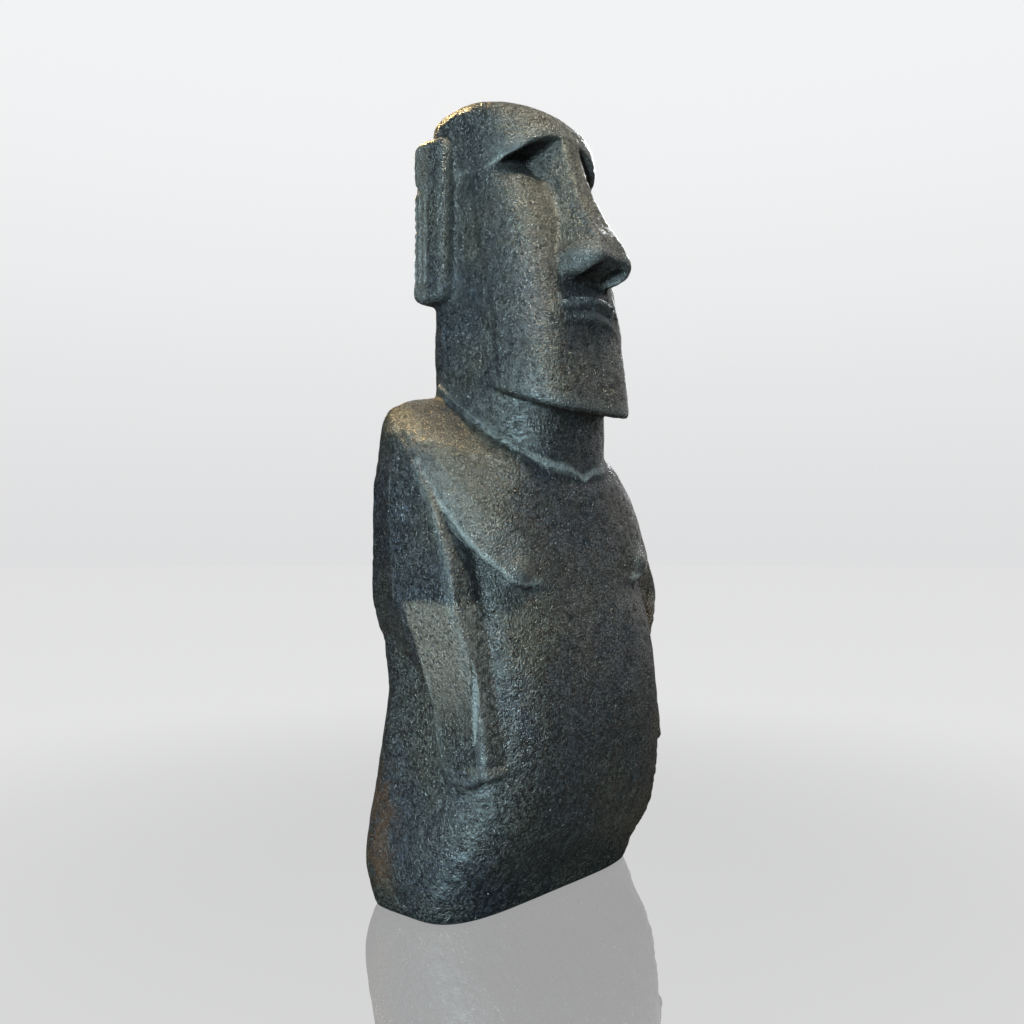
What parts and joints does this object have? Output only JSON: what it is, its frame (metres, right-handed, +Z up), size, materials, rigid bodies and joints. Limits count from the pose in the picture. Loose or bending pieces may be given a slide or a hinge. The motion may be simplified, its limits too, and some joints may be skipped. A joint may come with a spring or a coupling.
{
  "type": "moai stone statue",
  "caption": "Half-length standing moai figure carved from one block of dark basalt, with a long head, tall ears, arms at its sides and a flat underside.",
  "frame": {"origin": "middle of the flat underside, on the ground", "axes": "+Z up to the crown, the figure faces -Y, its left arm is at +X"},
  "size_m": [0.9946, 0.6399, 2.42],
  "materials": {
    "basalt": "hand-dressed fine-grained basalt, finely pitted, with a low sheen"
  },
  "bodies": {
    "root": {"statue": "basalt"}
  },
  "joints": []
}
